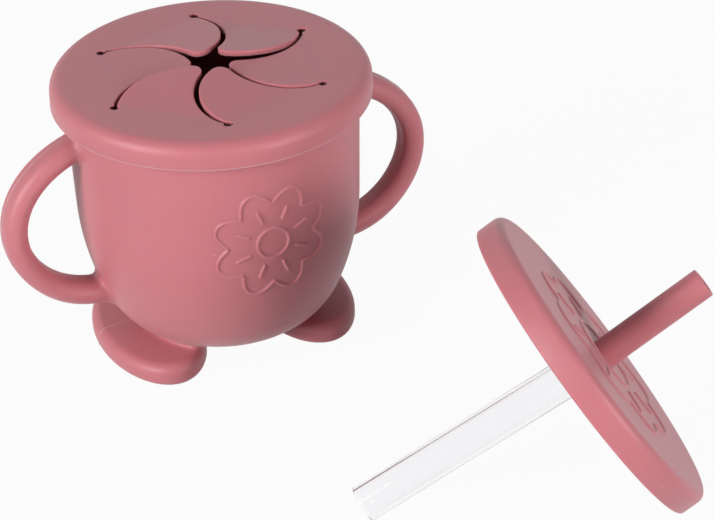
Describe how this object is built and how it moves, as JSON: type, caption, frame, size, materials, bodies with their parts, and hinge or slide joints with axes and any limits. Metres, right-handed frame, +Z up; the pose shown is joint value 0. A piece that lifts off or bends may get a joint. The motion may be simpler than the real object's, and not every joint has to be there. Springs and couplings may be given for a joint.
{
  "type": "toddler cup with two lids",
  "caption": "Soft silicone toddler cup with loop handles and oval feet, a snack lid with spring flaps fitted, and a straw lid with a clear straw lying beside it.",
  "frame": {"origin": "on the table, under the cup's axis, between its two feet", "axes": "+X through the right handle, -Y to the front of the cup, +Z up along the cup's axis"},
  "size_m": [0.1454, 0.1969, 0.084],
  "materials": {
    "silicone": "matte",
    "clear_straw": "clear gloss"
  },
  "bodies": {
    "cup": {"cup_body": "silicone", "left_handle": "silicone", "right_handle": "silicone", "left_foot": "silicone", "right_foot": "silicone"},
    "snack_lid": {"snack_lid": "silicone"},
    "flap_1": {"flap_1": "silicone"},
    "flap_2": {"flap_2": "silicone"},
    "flap_3": {"flap_3": "silicone"},
    "flap_4": {"flap_4": "silicone"},
    "flap_5": {"flap_5": "silicone"},
    "flap_6": {"flap_6": "silicone"},
    "clear_straw": {"clear_straw": "clear_straw"},
    "spout": {"spout": "silicone"},
    "straw_lid": {"straw_lid": "silicone"}
  },
  "joints": [
    {"name": "snack_lid_lift", "type": "slide", "parent": "cup", "child": "snack_lid", "axis": [0, 0, 1], "range_m": [0, 0.06]},
    {"name": "flap_1_bend", "type": "hinge", "parent": "snack_lid", "child": "flap_1", "pos_m": [0.01891, 0.01979, 0.0805], "axis": [-0.723, 0.6909, 0], "range_deg": [-45, 45], "stiffness_Nm_per_rad": 0.02},
    {"name": "flap_2_bend", "type": "hinge", "parent": "snack_lid", "child": "flap_2", "pos_m": [-0.00768, 0.02627, 0.0805], "axis": [-0.9598, -0.2807, 0], "range_deg": [-45, 45], "stiffness_Nm_per_rad": 0.02},
    {"name": "flap_3_bend", "type": "hinge", "parent": "snack_lid", "child": "flap_3", "pos_m": [-0.02659, 0.00648, 0.0805], "axis": [-0.2368, -0.9715, 0], "range_deg": [-45, 45], "stiffness_Nm_per_rad": 0.02},
    {"name": "flap_4_bend", "type": "hinge", "parent": "snack_lid", "child": "flap_4", "pos_m": [-0.01891, -0.01979, 0.0805], "axis": [0.723, -0.6909, 0], "range_deg": [-45, 45], "stiffness_Nm_per_rad": 0.02},
    {"name": "flap_5_bend", "type": "hinge", "parent": "snack_lid", "child": "flap_5", "pos_m": [0.00768, -0.02627, 0.0805], "axis": [0.9598, 0.2807, 0], "range_deg": [-45, 45], "stiffness_Nm_per_rad": 0.02},
    {"name": "flap_6_bend", "type": "hinge", "parent": "snack_lid", "child": "flap_6", "pos_m": [0.02659, -0.00648, 0.0805], "axis": [0.2368, 0.9715, 0], "range_deg": [-45, 45], "stiffness_Nm_per_rad": 0.02},
    {"name": "straw_set_lift", "type": "slide", "parent": "cup", "child": "clear_straw", "axis": [0, 0, 1], "range_m": [0, 0.06]},
    {"name": "spout_off_straw", "type": "slide", "parent": "clear_straw", "child": "spout", "axis": [0.8488, -0.196, 0.4911], "range_m": [0, 0.03]},
    {"name": "lid_off_spout", "type": "slide", "parent": "spout", "child": "straw_lid", "axis": [0.8049, -0.1858, 0.5635], "range_m": [0, 0.045]}
  ]
}
